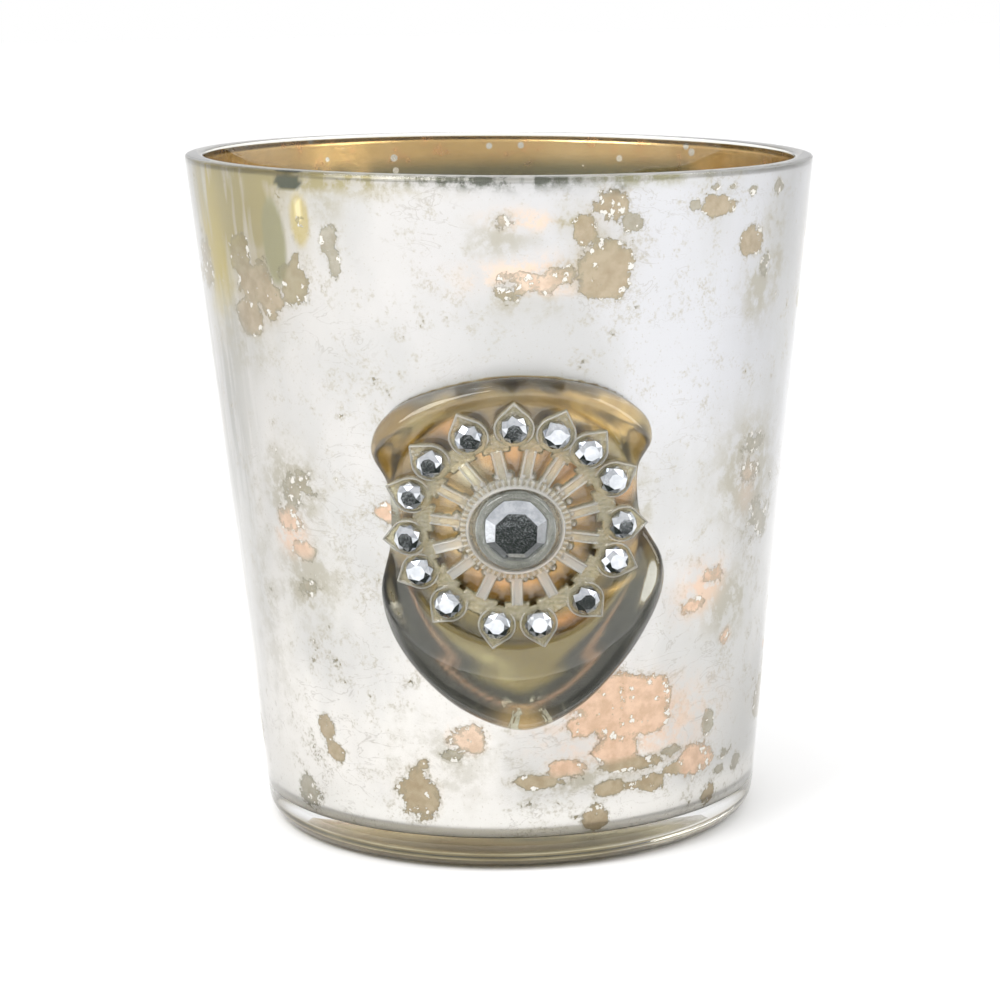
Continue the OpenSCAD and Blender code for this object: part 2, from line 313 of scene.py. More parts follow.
class Shader:
    """Builds one node material."""

    def __init__(self, name):
        self.material = bpy.data.materials.new(name)
        self.material.use_nodes = True
        self.tree = self.material.node_tree
        self.bsdf = self.tree.nodes["Principled BSDF"]
        self.coords = self.node("ShaderNodeTexCoord").outputs["Object"]

    def node(self, kind, inputs=None, **props):
        """Adds a node; inputs maps sockets to values or to other nodes' outputs."""
        made = self.tree.nodes.new(kind)
        for key, value in props.items():
            setattr(made, key, value)
        for key, value in (inputs or {}).items():
            self.feed(made.inputs[key], value)
        return made

    def feed(self, socket, value):
        """Links a socket to another node's output, or sets it to a value."""
        if isinstance(value, bpy.types.NodeSocket):
            self.tree.links.new(value, socket)
        else:
            socket.default_value = value

    def shader(self, **values):
        """Sets the Principled shader's own sockets."""
        for key, value in values.items():
            self.feed(self.bsdf.inputs[key.replace("_", " ")], value)

    def noise(self, scale, detail=3.0, roughness=0.55, stretch=None, distortion=0.0):
        """Noise whose grains are 1 / scale metres across."""
        vector = self.coords
        if stretch:
            vector = self.node(
                "ShaderNodeMapping", {"Vector": vector, "Scale": stretch}
            ).outputs[0]
        made = self.node("ShaderNodeTexNoise", {
            "Vector": vector, "Scale": scale, "Detail": detail,
            "Roughness": roughness, "Distortion": distortion,
        })
        return made.outputs["Fac"]

    def cells(self, scale):
        """Distance from, and a random number for, the nearest of scattered points."""
        made = self.node("ShaderNodeTexVoronoi", {"Vector": self.coords, "Scale": scale})
        pick = self.node("ShaderNodeSeparateColor", {0: made.outputs["Color"]})
        return made.outputs["Distance"], pick.outputs[0]

    def place(self, axis):
        """The X, Y or Z of the point, in metres."""
        return self.node("ShaderNodeSeparateXYZ", {0: self.coords}).outputs[axis]

    def math(self, operation, a, b=0.0, clamp=False):
        """One operation on two values."""
        return self.node(
            "ShaderNodeMath", {0: a, 1: b}, operation=operation, use_clamp=clamp
        ).outputs[0]

    def span(self, value, low, high, to_low=0.0, to_high=1.0):
        """Maps low..high smoothly to to_low..to_high."""
        return self.node("ShaderNodeMapRange", {
            "Value": value, "From Min": low, "From Max": high,
            "To Min": to_low, "To Max": to_high,
        }, interpolation_type="SMOOTHSTEP").outputs[0]

    def mix(self, factor, a, b, blend="MIX"):
        """Mixes two colours."""
        made = self.node("ShaderNodeMix", data_type="RGBA", blend_type=blend)
        sockets = [s for s in made.inputs if s.type == "RGBA"]
        for socket, value in ((made.inputs[0], factor), (sockets[0], a), (sockets[1], b)):
            self.feed(socket, value)
        return [s for s in made.outputs if s.type == "RGBA"][0]

    def attribute(self, name, output="Fac"):
        """A field that the mesh carries."""
        return self.node("ShaderNodeAttribute", attribute_name=name).outputs[output]

    def bump(self, height, distance):
        """A bump from a 0..1 height, distance metres deep."""
        return self.node("ShaderNodeBump", {
            "Height": height, "Distance": distance, "Strength": 1.0,
        }).outputs[0]


def rgb(r, g, b):
    """An opaque colour from 0..255 screen values."""
    def linear(c):
        c /= 255
        return c / 12.92 if c <= 0.04045 else ((c + 0.055) / 1.055) ** 2.4
    return (linear(r), linear(g), linear(b), 1.0)


def tone(r, g, b):
    """The same without its opacity, as an array."""
    return np.array(rgb(r, g, b)[:3])


def paint(piece, shader):
    """Gives a piece its one material."""
    piece.data.materials.clear()
    piece.data.materials.append(shader.material)


# -------------------------------------------------------------------- materials

GLASS_IOR = 1.5
CLEAR_ROUGHNESS = 0.01


def pad_clear():
    """The pad's clear glass, with a faint ripple in its face."""
    s = Shader("pad_glass")
    s.shader(
        Base_Color=rgb(250, 250, 238),
        Roughness=CLEAR_ROUGHNESS,
        IOR=GLASS_IOR,
        Transmission_Weight=1.0,
        Normal=s.bump(s.noise(130, 2.0), 0.00010),
    )
    return s


def cup_glass():
    """The cup's clear glass, greyer at the rim, with a painted reflection in the foot: brown
    streaks for the gold lining seen in it, paler towards +X.
    """
    s = Shader("clear_glass")
    foot = s.span(s.place("Z"), 2.3 * MM, 3.7 * MM)
    # Painted reflection: the foot is tinted brown in streaks for the gold lining seen in it, and
    # paler towards +X
    streak = s.span(s.noise(90, 3.0, 0.6, stretch=(1, 1, 9)), 0.35, 0.65)
    foot_painted_reflection = s.mix(streak, rgb(108, 92, 50), rgb(150, 138, 98))
    aside = s.span(s.place("X"), 0.008, 0.022, 0.0, 0.85)
    foot_painted_reflection = s.mix(aside, foot_painted_reflection, rgb(238, 235, 224))
    colour = s.mix(foot, foot_painted_reflection, rgb(251, 251, 251))
    sloped = s.math("MULTIPLY", s.place("X"), math.tan(RIM_SLOPE))
    rim = s.span(s.math("ADD", s.place("Z"), sloped), (CUP_H - 0.9) * MM, (CUP_H - 0.3) * MM)
    s.shader(
        Base_Color=s.mix(rim, colour, rgb(232, 231, 222)),
        Roughness=CLEAR_ROUGHNESS,
        IOR=GLASS_IOR,
        Transmission_Weight=1.0,
        Normal=s.bump(s.noise(60, 2.0), 0.00004),
    )
    return s


def silver_coat():
    """Silvering with patches worn through to the lacquer.

    The mesh's attributes say how worn (bare), how thin (haze, streaky, film) and how
    polished or speckled it is at each place, and what colour the lacquer is there, with painted
    highlights and painted shade where it shows through the pad."""
    s = Shader("silver_coat")
    layer = {
        name: s.attribute(name)
        for name in ("bare", "haze", "streaky", "film", "gloss", "speckled")
    }
    paint_colour = s.attribute("paint", "Color")
    ragged = s.noise(430, 7.0, 0.68)
    grain = s.noise(2400, 3.0, 0.6)
    bent = s.noise(130, 2.0, 0.5)
    uneven = s.math("ADD", s.math("MULTIPLY", ragged, 1.9), s.math("MULTIPLY", grain, 0.5))
    uneven = s.math("ADD", uneven, bent)
    field = s.math("SUBTRACT", s.math("ADD", layer["bare"], uneven), 1.62)
    behind_pad = s.span(layer["gloss"], 0.30, 0.55)
    worn = s.math("MAXIMUM", s.span(field, 0.47, 0.53), behind_pad)
    deep = s.math("MAXIMUM", s.span(field, 0.55, 0.74), behind_pad)

    # The silver itself: warmer to the left, with clouds, wrinkles, dust, painted reflection
    # streaks at the left edge and painted light that makes it brighter low down
    silver = s.mix(s.span(s.place("X"), -0.03, 0.03), rgb(222, 219, 215), rgb(219, 220, 224))
    # Painted light: lighter towards the bottom of the wall
    silver = s.mix(s.span(s.place("Z"), 0.060, 0.012, 0.0, 0.9), silver, rgb(248, 245, 240))
    cloud = s.noise(55, 4.0, 0.55, stretch=(1, 1, 0.5))
    silver = s.mix(s.span(cloud, 0.40, 0.64, 0.0, 0.7), silver, rgb(202, 202, 200))
    # Painted light: lighter still round the well's corner
    silver = s.mix(s.span(s.place("Z"), 0.0095, 0.0055), silver, rgb(247, 245, 240))
    wrinkle = s.noise(210, 4.0, 0.55, stretch=(0.6, 0.6, 1.4), distortion=1.2)
    line = s.span(s.math("ABSOLUTE", s.math("SUBTRACT", wrinkle, 0.5)), 0.014, 0.0)
    where = s.span(s.noise(85, 3.0, 0.6), 0.46, 0.62, 0.0, 0.42)
    silver = s.mix(s.math("MULTIPLY", line, where), silver, rgb(172, 166, 156))
    # Painted reflection: grey upright streaks at the left edge, where the wavy wall bends what it
    # mirrors
    left_edge = s.span(s.place("X"), -0.0265, -0.0325)
    painted_reflection_streaks = s.span(s.noise(420, 3.0, 0.6, stretch=(1, 1, 0.03)), 0.46, 0.62, 0.0, 0.9)
    silver = s.mix(s.math("MULTIPLY", painted_reflection_streaks, left_edge), silver, rgb(176, 176, 168))
    dust = s.span(s.noise(3400, 2.0, 0.5), 0.65, 0.71, 0.0, 0.4)
    silver = s.mix(dust, silver, rgb(186, 178, 160))

    # Thin silver round each patch, and soft patches where the lacquer shows dimly
    halo = s.math("MULTIPLY", s.span(field, 0.16, 0.46), s.span(grain, 0.45, 0.58, 0.15, 0.65))
    silver = s.mix(halo, silver, rgb(190, 184, 168))
    hazy = s.math("MULTIPLY", layer["haze"], s.span(ragged, 0.40, 0.58, 0.25, 1.25))
    silver = s.mix(s.math("MINIMUM", hazy, 0.9), silver, paint_colour)
    streak = s.span(s.noise(250, 3.0, 0.55, stretch=(1, 1, 0.10)), 0.34, 0.60, 0.30, 1.30)
    silver = s.mix(s.math("MULTIPLY", layer["streaky"], streak, clamp=True), silver, paint_colour)
    silver = s.mix(s.math("ADD", layer["film"], 0.0, clamp=True), silver, paint_colour)

    # Worn patches: an edge half lacquer and half grey, mottled lacquer inside, and
    # silver specks with a darker line round each
    mottle = s.span(s.noise(700, 4.0, 0.6), 0.3, 0.7, 0.0, 0.35)
    inside = s.mix(mottle, paint_colour, rgb(176, 152, 112), "MULTIPLY")
    worn_edge = s.mix(0.5, paint_colour, rgb(140, 134, 112))
    bare_colour = s.mix(deep, worn_edge, inside)
    distance, pick = s.cells(1000)
    speck_r = s.span(pick, 0.30, 0.9, -0.05, 0.44)
    scarce = s.span(field, 0.60, 1.25, 0.0, 0.26)
    speck_r = s.math("ADD", speck_r, s.span(grain, 0.35, 0.65, -0.22, 0.22))
    speck_edge = s.math("SUBTRACT", s.math("SUBTRACT", speck_r, scarce), distance)
    smooth = s.math("SUBTRACT", layer["gloss"], layer["speckled"], clamp=True)
    plain = s.math("SUBTRACT", 1.0, smooth)
    rim_line = s.math("MULTIPLY", s.span(speck_edge, -0.12, -0.02, 0.0, 0.55), plain)
    speck = s.math("MULTIPLY", s.span(speck_edge, -0.02, 0.04), plain)
    bare_colour = s.mix(rim_line, bare_colour, rgb(140, 130, 98))
    bare_colour = s.mix(speck, bare_colour, rgb(240, 237, 230))
    polished = s.math("MULTIPLY", worn, layer["gloss"])
    corner = s.span(s.place("Z"), 0.0040, 0.0056, 0.25, 0.92)
    relief = s.math("ADD", s.math("MULTIPLY", cloud, 1.5), s.math("MULTIPLY", worn, -0.6))
    s.shader(
        Base_Color=s.mix(worn, silver, bare_colour),
        Metallic=s.math("MINIMUM", s.span(polished, 0.0, 1.0, 0.92, 0.8), corner),
        Roughness=s.span(polished, 0.0, 1.0, 0.36, 0.24),
        Specular_IOR_Level=0.2,
        Normal=s.bump(relief, 0.00003),
    )
    return s


def gold_lacquer():
    """Glossy gold lacquer, mottled, with silver flecks near the rim and painted dark reflections
    in upright streaks lower down.
    """
    s = Shader("gold_lacquer")
    cloud = s.noise(70, 4.0, 0.55, stretch=(1, 1, 0.6))
    ragged = s.noise(420, 5.0, 0.62)
    colour = s.mix(s.span(cloud, 0.35, 0.65), rgb(212, 177, 112), rgb(228, 198, 142))
    colour = s.mix(s.span(ragged, 0.54, 0.68, 0.0, 0.7), colour, rgb(228, 176, 116))
    # Painted reflection: dark olive upright streaks from a few mm below the rim down
    depth = s.span(s.place("Z"), (CUP_H - 2.2) * MM, (CUP_H - 5.2) * MM)
    shade = s.span(s.noise(48, 3.0, 0.5, stretch=(1, 1, 0.25)), 0.44, 0.56, 0.0, 0.9)
    colour = s.mix(s.math("MULTIPLY", depth, shade), colour, rgb(108, 108, 76))
    distance, pick = s.cells(480)
    near_rim = s.span(s.place("Z"), (CUP_H - 14) * MM, (CUP_H - 2) * MM)
    fleck_r = s.math("MULTIPLY", s.span(pick, 0.60, 1.0, 0.0, 0.30), near_rim)
    fleck = s.span(s.math("SUBTRACT", fleck_r, distance), -0.05, 0.02)
    colour = s.mix(fleck, colour, rgb(226, 220, 204))
    s.shader(
        Base_Color=colour,
        Metallic=0.85,
        Roughness=s.span(ragged, 0.3, 0.7, 0.14, 0.28),
        Coat_Weight=0.4,
        Coat_Roughness=0.05,
        Normal=s.bump(ragged, 0.00003),
    )
    return s


def pressed_glass():
    """The sunburst's pressed glass, a little milky, with painted highlights that whiten its
    raised lines.
    """
    s = Shader("sunburst_glass")
    # The raised lines carry a painted highlight
    raised = s.attribute("raised")
    frost = s.noise(2200, 3.0, 0.6)
    low = s.mix(s.span(frost, 0.35, 0.65), rgb(216, 207, 170), rgb(234, 227, 196))
    s.shader(
        Base_Color=s.mix(raised, low, rgb(255, 255, 252)),
        Roughness=0.06,
        IOR=GLASS_IOR,
        Transmission_Weight=0.72,
        Normal=s.bump(frost, 0.00003),
    )
    return s


def flange_glaze():
    """The pale clear band round the centre stone's facets."""
    s = Shader("stone_flange")
    cloud = s.noise(500, 2.0)
    s.shader(
        Base_Color=s.mix(s.span(cloud, 0.35, 0.65), rgb(196, 198, 188), rgb(214, 216, 208)),
        Roughness=0.06,
        IOR=GLASS_IOR,
        Transmission_Weight=0.8,
        Normal=s.bump(cloud, 0.00002),
    )
    return s


def stone_mirror():
    """A foil-backed crystal: its facets mirror the room."""
    s = Shader("stone_crystal")
    fine = s.noise(900, 3.0)
    scratch = s.noise(5200, 2.0, 0.6)
    s.shader(
        Base_Color=s.mix(s.span(fine, 0.35, 0.7), rgb(208, 211, 216), rgb(184, 188, 193)),
        Metallic=1.0,
        Roughness=s.span(scratch, 0.35, 0.7, 0.06, 0.16),
        Coat_Weight=0.6,
        Coat_Roughness=0.02,
        Normal=s.bump(fine, 0.000012),
    )
    return s


def tin_sheet():
    """Thin drawn aluminium."""
    s = Shader("tin_aluminium")
    drawn = s.noise(300, 3.0, 0.6, stretch=(1, 1, 8))
    scuff = s.noise(900, 4.0, 0.7)
    s.shader(
        Base_Color=s.mix(s.span(scuff, 0.45, 0.75), rgb(214, 215, 217), rgb(190, 191, 194)),
        Metallic=1.0,
        Roughness=s.span(drawn, 0.3, 0.7, 0.22, 0.40),
        Normal=s.bump(drawn, 0.00002),
    )
    return s


def candle_wax():
    """Milky paraffin wax."""
    s = Shader("candle_wax")
    cloud = s.noise(120, 4.0, 0.55)
    pits = s.noise(1500, 3.0, 0.6)
    s.shader(
        Base_Color=s.mix(s.span(cloud, 0.3, 0.7), rgb(246, 243, 234), rgb(238, 233, 220)),
        Roughness=s.span(pits, 0.3, 0.7, 0.34, 0.5),
        Subsurface_Weight=0.35,
        Subsurface_Radius=(0.004, 0.003, 0.002),
        Subsurface_Scale=0.5,
        Normal=s.bump(pits, 0.00003),
    )
    return s


def wick_cotton():
    """Waxed cotton, mottled by its fibres."""
    s = Shader("wick_cotton")
    fibre = s.noise(4000, 3.0, 0.7, stretch=(1, 1, 0.3))
    colour = s.mix(s.span(fibre, 0.35, 0.7), rgb(238, 231, 212), rgb(206, 194, 165))
    s.shader(Base_Color=colour, Roughness=0.75, Normal=s.bump(fibre, 0.00004))
    return s


def tab_steel():
    """Tinned steel with light scratches."""
    s = Shader("tab_steel")
    scratch = s.noise(2200, 3.0, 0.6, stretch=(1, 0.1, 1))
    s.shader(
        Base_Color=s.mix(s.span(scratch, 0.4, 0.7), rgb(170, 172, 174), rgb(140, 142, 144)),
        Metallic=1.0,
        Roughness=s.span(scratch, 0.3, 0.7, 0.25, 0.45),
        Normal=s.bump(scratch, 0.00001),
    )
    return s


# ------------------------------------------------------------------- glass cup

AROUND = 300


def corner_centres():
    """Centres of the foot's outside corner and of the well's inside corner."""
    foot_x = FOOT_R + FOOT_CORNER_R * (WALL_SLOPE - 1 / math.cos(DRAFT))
    well_z = FLOOR_T + WELL_CORNER_R
    well_x = float(wall_r(well_z)) - (WALL_T + WELL_CORNER_R) / math.cos(DRAFT)
    return (foot_x, FOOT_CORNER_R), (well_x, well_z)


def inside_rings(depth, low_angle, top_drop, rows, around=AROUND):
    """Rings up the inside of the wall, sunk depth into the glass, from the corner's
    low_angle (-90 is the floor) to top_drop below the rim."""
    angle = np.arange(around) / around * 2 * math.pi
    corner = corner_centres()[1]
    rings = [
        round_cup(r, angle, z)
        for r, z in arc(corner, WELL_CORNER_R + depth, low_angle, -math.degrees(DRAFT), 10)
    ]
    start = rings[-1][:, 2]
    top = rim_height(angle) - top_drop
    for t in np.linspace(0, 1, rows)[1:]:
        z = start + t * (top - start)
        r = wall_r(z) - (WALL_T - depth) / math.cos(DRAFT)
        rings.append(round_cup(r + hand_wave(angle, z) + inner_wave(angle, z), angle, z))
    return rings


def build_cup():
    """The tumbler itself: a closed glass body with a clear foot and a flat-cut rim."""
    angle = np.arange(AROUND) / AROUND * 2 * math.pi
    foot, well = corner_centres()
    rings = [round_cup(r, angle, FOOT_HOLLOW) for r in np.linspace(4, foot[0] - 2, 6)]
    rings += [
        round_cup(r, angle, z)
        for r, z in arc(foot, FOOT_CORNER_R, -90, -math.degrees(DRAFT), 12)
    ]
    start = rings[-1][:, 2]
    lip_top = rim_height(angle)
    for t in np.linspace(0, 1, 90)[1:]:
        z = start + t * (lip_top - LIP_H - start)
        rings.append(round_cup(wall_r(z) + hand_wave(angle, z), angle, z))
    z = lip_top - LIP_H
    wave = hand_wave(angle, z)
    outer = np.hypot(rings[-1][:, 0], rings[-1][:, 1])
    inner = wall_r(z) - WALL_T / math.cos(DRAFT) + wave + inner_wave(angle, z)
    middle = (outer + inner) / 2
    half = (outer - inner) / 2
    for a in np.radians(np.linspace(0, 180, 21))[1:-1]:
        across = math.copysign(abs(math.cos(a)) ** LIP_SQUARE, math.cos(a))
        up = math.sin(a) ** LIP_SQUARE
        rings.append(round_cup(middle + half * across, angle, z + LIP_H * up))
    rings += inside_rings(0, -90, LIP_H, 90)[::-1]
    rings += [round_cup(r, angle, FLOOR_T) for r in np.linspace(well[0], 3, 8)[1:]]
    cup = loft("cup_glass", rings, (0, 0, FOOT_HOLLOW), (0, 0, FLOOR_T))
    paint(cup, cup_glass())
    wear_body(cup, "holder", "glass_cup")


# ----------------------------------------------------------------------- coats

# Patches in the silvering. Each is the angle round the cup in degrees (0 is the
# front), the height, the half width and half height in mm, its strength and colour.
PATCH_COLOURS = {
    "khaki": tone(178, 167, 138),
    "grey": tone(186, 181, 165),
    "tan": tone(192, 177, 150),
    "olive": tone(170, 158, 112),
    "yellow": tone(196, 178, 92),
    "peach": tone(244, 220, 198),
    "copper": tone(238, 207, 181),
    "gold": tone(196, 178, 108),
    "moss": tone(158, 154, 118),
    "green": tone(72, 78, 60),
    # A painted highlight on the lacquer drip
    "drip_highlight": tone(250, 238, 190),
}
# Worn through, with ragged edges
CRISP_PATCHES = [
    (-58, 69.9, 2.1, 1.9, 1.0, "khaki"), (-54, 67.1, 2.8, 2.3, 1.05, "tan"),
    (-50, 65.5, 2.0, 1.8, 1.0, "tan"), (-57, 63.3, 2.2, 1.9, 1.0, "tan"),
    (-43, 67.4, 1.9, 2.1, 1.0, "khaki"), (-34, 72.8, 1.0, 1.3, 0.85, "grey"),
    (-42, 70.0, 0.7, 1.0, 0.8, "khaki"), (17, 69.3, 2.7, 2.7, 1.1, "tan"),
    (13, 74.2, 1.1, 1.6, 1.0, "tan"), (18, 76.7, 1.9, 1.7, 0.9, "tan"),
    (22, 74.9, 1.0, 1.0, 0.85, "grey"), (41, 76.1, 2.0, 1.0, 1.0, "tan"),
    (35, 76.3, 0.8, 0.6, 0.7, "grey"), (40, 78.2, 0.6, 0.4, 0.8, "grey"),
    (44, 78.0, 0.6, 0.4, 0.8, "grey"), (50, 77.5, 0.8, 0.7, 0.85, "grey"),
    (59, 77.6, 1.1, 0.9, 0.85, "grey"), (51, 71.4, 1.9, 1.7, 1.05, "tan"),
    (56, 68.6, 1.3, 1.6, 0.75, "grey"), (4, 68.4, 3.4, 1.3, 0.74, "peach"),
    (0, 67.5, 1.9, 1.5, 0.68, "khaki"), (9, 69.1, 2.2, 1.3, 0.72, "tan"),
    (-1, 75.1, 1.9, 1.0, 0.55, "grey"), (-51, 40.2, 1.9, 1.5, 0.72, "copper"),
    (-48, 36.6, 1.6, 1.1, 0.70, "copper"), (-48, 44.2, 2.3, 2.3, 0.52, "khaki"),
    (-48, 32.0, 2.6, 1.8, 0.52, "khaki"), (57, 44.1, 2.2, 1.8, 0.55, "copper"),
    (47, 32.5, 1.6, 1.2, 0.64, "copper"), (41, 29.6, 1.9, 1.0, 0.64, "copper"),
    (53, 24.8, 1.0, 1.0, 0.62, "copper"), (58, 47.5, 2.7, 1.4, 0.50, "grey"),
    (64, 37.3, 3.5, 2.3, 0.50, "grey"), (-47, 15.3, 1.3, 1.3, 1.0, "tan"),
    (-45, 12.5, 1.1, 1.1, 0.95, "tan"), (-56, 6.1, 2.0, 2.0, 0.9, "grey"),
    (-23, 8.8, 2.2, 2.7, 1.1, "tan"), (-21, 12.7, 0.8, 0.7, 0.8, "tan"),
    (-11, 16.1, 1.9, 1.7, 1.0, "peach"), (23, 18.9, 4.6, 3.4, 1.2, "copper"),
    (22, 13.8, 2.6, 1.5, 1.05, "copper"), (15, 16.9, 2.2, 1.5, 0.95, "copper"),
    (29, 16.4, 2.8, 1.3, 1.0, "copper"), (45, 10.4, 2.4, 1.8, 1.0, "copper"),
    (51, 5.6, 1.2, 1.2, 0.9, "tan"), (32, 8.9, 1.8, 1.0, 0.95, "tan"),
    (21, 9.2, 1.7, 0.9, 1.0, "tan"), (27, 9.0, 1.2, 0.6, 0.8, "tan"),
    (38, 10.0, 1.6, 0.8, 0.8, "tan"), (11, 12.0, 2.3, 1.0, 0.95, "copper"),
    (5, 10.6, 2.7, 0.7, 0.9, "tan"), (18, 5.7, 1.2, 1.4, 1.0, "tan"),
    (49, 14.7, 0.9, 1.2, 0.85, "grey"), (57, 9.8, 1.4, 0.8, 0.70, "grey"),
    (63, 8.1, 1.1, 1.1, 0.75, "grey"), (55, 8.0, 0.9, 0.6, 0.70, "grey"),
    (-25, 42.5, 1.6, 0.9, 0.85, "copper"), (-14, 14.0, 1.3, 0.8, 0.60, "grey"),
    (37, 12.4, 1.5, 0.6, 0.60, "grey"), (15, 20.5, 3.2, 2.2, 1.0, "copper"),
    (11, 21.5, 2.0, 1.6, 0.9, "peach"), (30, 19.5, 2.2, 2.4, 1.0, "copper"),
    (26, 11.6, 4.0, 0.9, 0.9, "tan"), (-33, 70.2, 0.8, 1.6, 0.7, "grey"),
]
# Thin silver, with soft edges
SOFT_PATCHES = [
    (2, 75.1, 4.2, 1.3, 1.0, "peach"), (4, 68.9, 6.4, 2.4, 1.1, "peach"),
    (11, 75.0, 2.9, 1.6, 0.8, "olive"), (-2, 73.1, 4.2, 2.6, 0.7, "grey"),
    (3, 66.0, 4.6, 1.6, 0.8, "grey"), (19, 78.4, 1.2, 0.9, 0.9, "green"),
    (-34, 76.1, 2.2, 1.6, 0.9, "grey"), (12, 69.5, 3.2, 2.0, 0.9, "khaki"),
    (55, 66.1, 3.6, 4.6, 1.0, "grey"), (59, 72.9, 2.4, 2.6, 1.1, "grey"),
    (61, 68.5, 1.9, 3.4, 1.0, "grey"), (-50, 43.7, 5.0, 4.8, 1.2, "grey"),
    (-48, 33.1, 5.0, 4.8, 1.15, "grey"), (-51, 38.2, 2.9, 3.6, 1.0, "copper"),
    (57, 44.0, 6.6, 6.6, 1.2, "grey"), (57, 42.4, 2.8, 3.6, 0.9, "copper"),
    (45, 31.0, 4.4, 3.4, 0.95, "copper"), (53, 28.9, 5.2, 4.2, 1.1, "grey"),
    (27, 16.3, 10, 4.6, 0.9, "copper"), (15, 10.9, 7.2, 2.2, 0.9, "grey"),
    (13, 20.0, 4.5, 2.8, 0.9, "copper"), (-17, 12.9, 6.6, 5.2, 0.5, "grey"),
    (-61, 61.5, 5.9, 4.4, 0.8, "grey"), (27, 43.1, 1.3, 3.8, 0.7, "grey"),
    (-38, 79.7, 16, 1.9, 1.3, "olive"), (-6, 79.7, 16, 1.2, 1.2, "green"),
    (24, 79.7, 10, 1.0, 1.0, "moss"), (-64, 30, 4.5, 16, 0.4, "grey"),
]
# Lacquer that ran down behind thin silver, in upright streaks
STREAKED_PATCHES = [
    (-59, 75.5, 9.5, 7.2, 1.5, "olive"), (-68, 73.5, 4.6, 9.5, 1.4, "yellow"),
    (-54, 68.0, 4.2, 5.0, 1.1, "khaki"), (17, 71.5, 3.0, 4.0, 0.6, "khaki"),
    (-46, 79.5, 8.0, 1.6, 1.2, "olive"), (-57, 71.7, 5.0, 3.2, 1.0, "olive"),
]
# Smooth runs of lacquer, one with a painted highlight on it
FILM_PATCHES = [
    (-47, 71.9, 1.9, 4.9, 1.1, "moss"), (-40, 74.6, 1.4, 3.0, 0.75, "gold"),
    (-40, 75.6, 0.5, 1.4, 1.2, "drip_highlight"), (-42, 78.7, 2.0, 0.9, 1.5, "green"),
]


def more_patches(count, low_angle, high_angle):
    """Patches of the same kind round the side that faces away."""
    names = ["khaki", "khaki", "peach", "copper", "olive"]
    made = []
    for _ in range(count):
        edge = RNG.random()
        z = RNG.uniform(60, 77) if edge < 0.5 else RNG.uniform(5, 22)
        if edge > 0.9:
            z = RNG.uniform(25, 58)
        size = RNG.uniform(0.8, 3.6)
        made.append((
            RNG.uniform(low_angle, high_angle), z, size, size * RNG.uniform(0.6, 1.5),
            RNG.uniform(0.75, 1.05), names[RNG.integers(len(names))],
        ))
    return made


def patch_fields(points):
    """The wear at each point, as a field for each kind of patch, and its colour."""
    angle = np.arctan2(points[:, 0], -points[:, 1])
    # Heights near the rim follow its slope
    z = points[:, 2] + (CUP_H - rim_height(angle)) * ease(points[:, 2], 60, 78)
    angle = np.degrees(angle)
    around = np.hypot(points[:, 0], points[:, 1]) * math.pi / 180
    weight = np.full(len(points), 1e-6)
    colour = PATCH_COLOURS["khaki"] * weight[:, None]
    fields = {}
    groups = (
        ("bare", CRISP_PATCHES + more_patches(70, 72, 286), 1.0),
        ("haze", SOFT_PATCHES, 0.35),
        ("streaky", STREAKED_PATCHES, 0.5),
        ("film", FILM_PATCHES, 6.0),
    )
    for kind, patches, pull in groups:
        field = np.zeros(len(points))
        for centre, height, half_w, half_h, strength, name in patches:
            across = ((angle - centre + 180) % 360 - 180) * around / half_w
            reach = np.hypot(across, (z - height) / half_h)
            if kind == "bare":
                level = strength * np.clip(1.45 - 0.9 * reach, 0, 1.1)
            elif kind == "film":
                level = strength * (1 - ease(reach, 0.75, 1.15))
            else:
                level = strength * np.exp(-(reach**2) * 1.2)
            field = np.maximum(field, level)
            share = level**3 * pull
            colour = colour + PATCH_COLOURS[name] * share[:, None]
            weight = weight + share
        fields[kind] = field
    return fields, colour / weight[:, None]


# Painted highlights, and one painted shade, in the lacquer behind the pad: across and up from the
# medallion's centre, half width and half height in mm, turned by degrees, strength and colour
PAINTED_LIGHT_COLOURS = {
    "spark": tone(255, 255, 250),
    "amber": tone(252, 214, 152),
    "copper": tone(228, 162, 92),
    "peach": tone(250, 214, 172),
    "straw": tone(206, 198, 160),
    "shade": tone(92, 88, 62),
    # Painted light under the spokes
    "under": tone(226, 178, 112),
}
PAD_PAINTED_LIGHTS = [
    # A painted shade
    (13.6, -7.5, 4.2, 2.6, 40, 0.95, "shade"),
    (-12.4, 12.2, 3.0, 0.8, 28, 0.7, "straw"), (0, 15.3, 9.0, 0.6, 2, 0.6, "straw"),
    (-8, 12.6, 5.0, 0.5, 14, 0.4, "straw"), (11.8, 7.8, 2.6, 2.6, 0, 0.5, "straw"),
    (-5.4, 5.2, 3.2, 2.5, 40, 1.0, "amber"), (-4.9, 5.6, 1.6, 1.6, 0, 1.0, "spark"),
    (-7.4, 2.0, 2.2, 2.2, 0, 1.0, "amber"), (-7.2, -1.8, 2.0, 2.2, 0, 0.95, "amber"),
    (-0.3, 7.7, 4.2, 1.5, 0, 0.75, "copper"), (5.9, 6.1, 2.2, 1.9, 0, 0.8, "copper"),
    (-7.0, 10.8, 2.2, 1.3, 20, 0.7, "copper"), (8.1, 11.9, 3.6, 1.3, -24, 1.0, "amber"),
    (12.6, 11.0, 1.7, 0.7, -30, 0.8, "amber"), (12.4, 3.1, 1.8, 1.7, 0, 0.8, "copper"),
    (12.6, -2.4, 2.8, 2.4, 60, 1.0, "peach"), (-0.3, -6.7, 5.0, 1.6, 0, 0.9, "copper"),
    (5.8, -11.6, 3.6, 1.0, 18, 1.0, "copper"), (-4, -16.8, 4.5, 0.9, -24, 0.5, "straw"),
    (11.0, -8.6, 3.8, 0.5, 14, 0.9, "amber"),
    (1.5, -22.6, 4.6, 1.0, -4, 1.0, "amber"), (-2.2, -10.2, 1.6, 0.4, 0, 0.6, "amber"),
]


